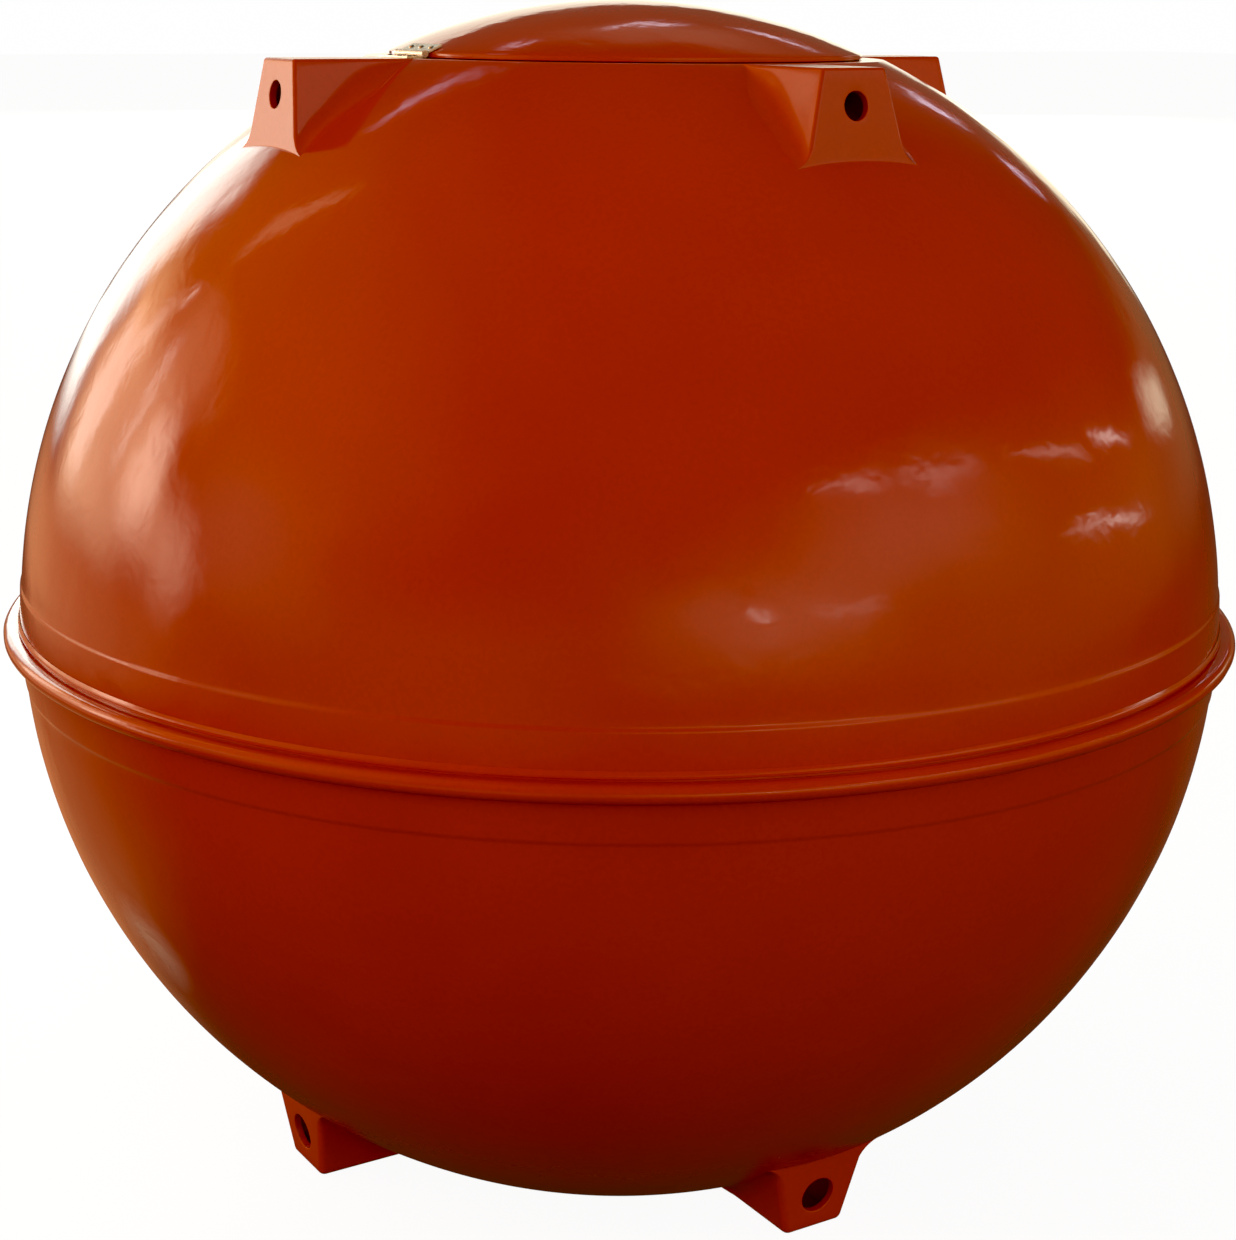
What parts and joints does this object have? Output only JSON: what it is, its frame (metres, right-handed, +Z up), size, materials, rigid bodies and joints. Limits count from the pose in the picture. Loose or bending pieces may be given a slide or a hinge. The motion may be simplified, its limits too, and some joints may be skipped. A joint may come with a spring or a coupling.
{
  "type": "spherical fiberglass water tank",
  "caption": "Spherical fiberglass tank of two bonded half shells, with moulded lifting lugs and feet, a rolled joint bead and a hinged domed manhole lid.",
  "frame": {"origin": "on the floor under the middle of the tank", "axes": "+Z up, -Y through the front lug and foot, -X through the left lug that carries the lid's hinge"},
  "size_m": [1.6466, 1.6466, 1.5258],
  "materials": {
    "gelcoat": "glossy moulded orange-red polyester gelcoat",
    "laminate": "bare hand-laid glass laminate",
    "seal_rubber": "flat black rubber strip",
    "zinc_steel": "bright zinc-plated pressed steel"
  },
  "bodies": {
    "tank": {"upper_shell": "gelcoat", "lower_shell": "gelcoat", "upper_joint_lip": "gelcoat", "joint_bead": "gelcoat", "inner_joint_strip": "laminate", "manhole_seat_ring": "gelcoat", "lid_seal": "seal_rubber", "lug_front": "gelcoat", "lug_right": "gelcoat", "lug_back": "gelcoat", "lug_left": "gelcoat", "foot_front": "gelcoat", "foot_right": "gelcoat", "foot_back": "gelcoat", "foot_left": "gelcoat", "hinge_leaf_fixed": "zinc_steel", "hinge_pin": "zinc_steel"},
    "lid": {"lid_dome": "gelcoat", "lid_rim": "gelcoat", "hinge_leaf_lid": "zinc_steel"}
  },
  "joints": [
    {"name": "lid_hinge", "type": "hinge", "parent": "tank", "child": "lid", "pos_m": [-0.3112, 0, 1.45934], "axis": [0, -1, 0], "range_deg": [0, 150]}
  ]
}
